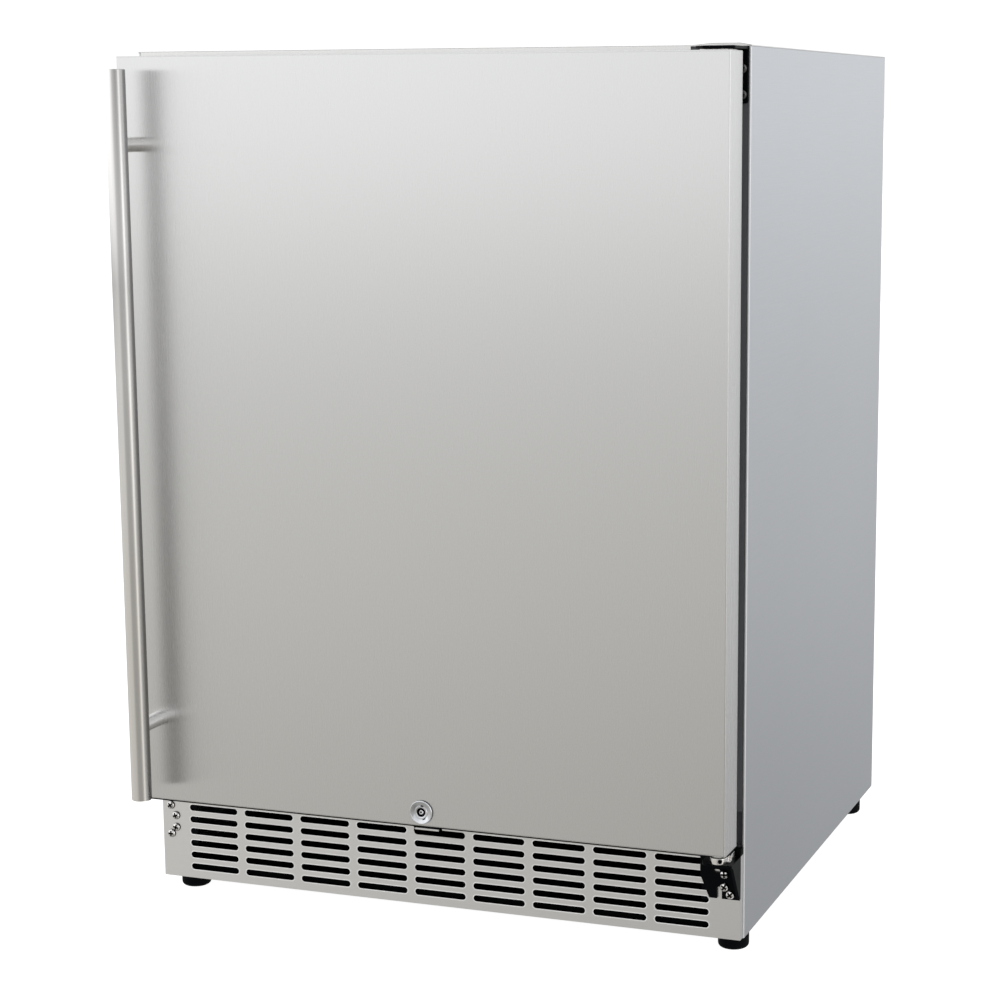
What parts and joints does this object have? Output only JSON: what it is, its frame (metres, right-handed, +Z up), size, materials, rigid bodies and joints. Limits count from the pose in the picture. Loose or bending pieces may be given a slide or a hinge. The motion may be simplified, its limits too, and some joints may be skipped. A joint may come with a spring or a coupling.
{
  "type": "undercounter refrigerator",
  "caption": "Stainless undercounter refrigerator with a hinged flush door, full-length bar handle, key lock, slotted kick grille, levelling feet, wire shelves and door bins.",
  "frame": {"origin": "centre of the bounding box's footprint, on the floor under the feet", "axes": "+X across the width towards the hinge side, +Y from the door to the back, +Z up"},
  "size_m": [0.595, 0.615, 0.8198],
  "materials": {
    "brushed_stainless": "vertical brushed grain, satin",
    "kick_stainless": "fine satin",
    "bay_black": "dull black paint",
    "panel_stainless": "fine satin",
    "polished_stainless": "bright satin",
    "galvanised_steel": "dull zinc",
    "frame_grey": "satin grey",
    "white_liner": "smooth satin",
    "white_rail": "fine texture",
    "foam": "cut foam",
    "black_steel": "semi-gloss black",
    "plated_steel": "bright zinc plate",
    "chrome": "polished",
    "shelf_chrome": "polished wire",
    "black_rubber": "matt",
    "gasket": "soft matt",
    "black_plastic": "fine texture",
    "bin_plastic": "clear-tinted, glossy",
    "knob_plastic": "satin",
    "bush_plastic": "plain",
    "lens": "frosted",
    "fin_aluminium": "mill",
    "copper": "drawn tube"
  },
  "bodies": {
    "cabinet": {"kick_grille": "kick_stainless", "strike_plate": "kick_stainless", "side_panel_left": "panel_stainless", "side_panel_right": "panel_stainless", "top_panel": "panel_stainless", "back_panel": "galvanised_steel", "rear_cover": "galvanised_steel", "base_pan": "bay_black", "base_front_rail": "bay_black", "machine_bay_liner": "bay_black", "hinge_backing_plates": "bay_black", "condenser_shroud": "bay_black", "front_frame": "frame_grey", "inner_liner": "white_liner", "control_box": "white_liner", "evaporator_cover": "white_liner", "foam_insulation": "foam", "lower_hinge_bracket": "black_steel", "upper_hinge_bracket": "black_steel", "compressor": "black_steel", "lower_hinge_pin": "plated_steel", "upper_hinge_pin": "plated_steel", "hinge_screws": "plated_steel", "rear_cover_screws": "plated_steel", "shelf_rails": "white_rail", "compressor_grommets": "black_rubber", "power_gland": "black_plastic", "terminal_box": "black_plastic", "evaporator_fan_motor": "black_plastic", "condenser_fan_motor": "black_plastic", "lamp_lens": "lens", "evaporator_coil": "fin_aluminium", "condenser_coil": "fin_aluminium", "refrigerant_lines": "copper"},
    "door": {"door_skin": "brushed_stainless", "door_foam": "foam", "door_liner": "white_liner", "door_gasket": "gasket", "door_bin_lower": "bin_plastic", "door_bin_middle": "bin_plastic", "door_bin_upper": "bin_plastic", "handle_bar": "polished_stainless", "handle_posts": "polished_stainless", "handle_screws": "plated_steel", "lower_door_plate": "black_steel", "upper_door_plate": "plated_steel", "hinge_bushes": "bush_plastic", "lock_housing": "chrome", "lock_nut": "plated_steel"},
    "lock": {"lock_plug": "chrome", "lock_cam": "plated_steel"},
    "thermostat": {"thermostat_knob": "knob_plastic"},
    "evaporator_fan": {"evaporator_fan": "black_plastic"},
    "condenser_fan": {"condenser_fan": "black_plastic"},
    "shelf_lower": {"wire_shelf_lower": "shelf_chrome"},
    "shelf_upper": {"wire_shelf_upper": "shelf_chrome"},
    "foot_front_left": {"foot_front_left": "black_rubber"},
    "foot_front_right": {"foot_front_right": "black_rubber"},
    "foot_rear_left": {"foot_rear_left": "black_rubber"},
    "foot_rear_right": {"foot_rear_right": "black_rubber"}
  },
  "joints": [
    {"name": "door_swing", "type": "hinge", "parent": "cabinet", "child": "door", "pos_m": [0.282, -0.247, 0.45], "axis": [0, 0, 1], "range_deg": [0, 115]},
    {"name": "lock_turn", "type": "hinge", "parent": "door", "child": "lock", "pos_m": [0, -0.24, 0.1227], "axis": [0, -1, 0], "range_deg": [0, 90]},
    {"name": "thermostat_turn", "type": "hinge", "parent": "cabinet", "child": "thermostat", "pos_m": [0.166, -0.1168, 0.7565], "axis": [0, -1, 0], "range_deg": [0, 270]},
    {"name": "evaporator_fan_spin", "type": "hinge", "parent": "cabinet", "child": "evaporator_fan", "pos_m": [0.072, 0.2155, 0.661], "axis": [0, 1, 0], "continuous": true},
    {"name": "condenser_fan_spin", "type": "hinge", "parent": "cabinet", "child": "condenser_fan", "pos_m": [0.135, 0.179, 0.0992], "axis": [0, 1, 0], "continuous": true},
    {"name": "shelf_lower_slide", "type": "slide", "parent": "cabinet", "child": "shelf_lower", "axis": [0, -1, 0], "range_m": [0, 0.06]},
    {"name": "shelf_upper_slide", "type": "slide", "parent": "cabinet", "child": "shelf_upper", "axis": [0, -1, 0], "range_m": [0, 0.06]},
    {"name": "foot_front_left_level", "type": "slide", "parent": "cabinet", "child": "foot_front_left", "axis": [0, 0, -1], "range_m": [0, 0.02]},
    {"name": "foot_front_right_level", "type": "slide", "parent": "cabinet", "child": "foot_front_right", "axis": [0, 0, -1], "range_m": [0, 0.02]},
    {"name": "foot_rear_left_level", "type": "slide", "parent": "cabinet", "child": "foot_rear_left", "axis": [0, 0, -1], "range_m": [0, 0.02]},
    {"name": "foot_rear_right_level", "type": "slide", "parent": "cabinet", "child": "foot_rear_right", "axis": [0, 0, -1], "range_m": [0, 0.02]}
  ]
}
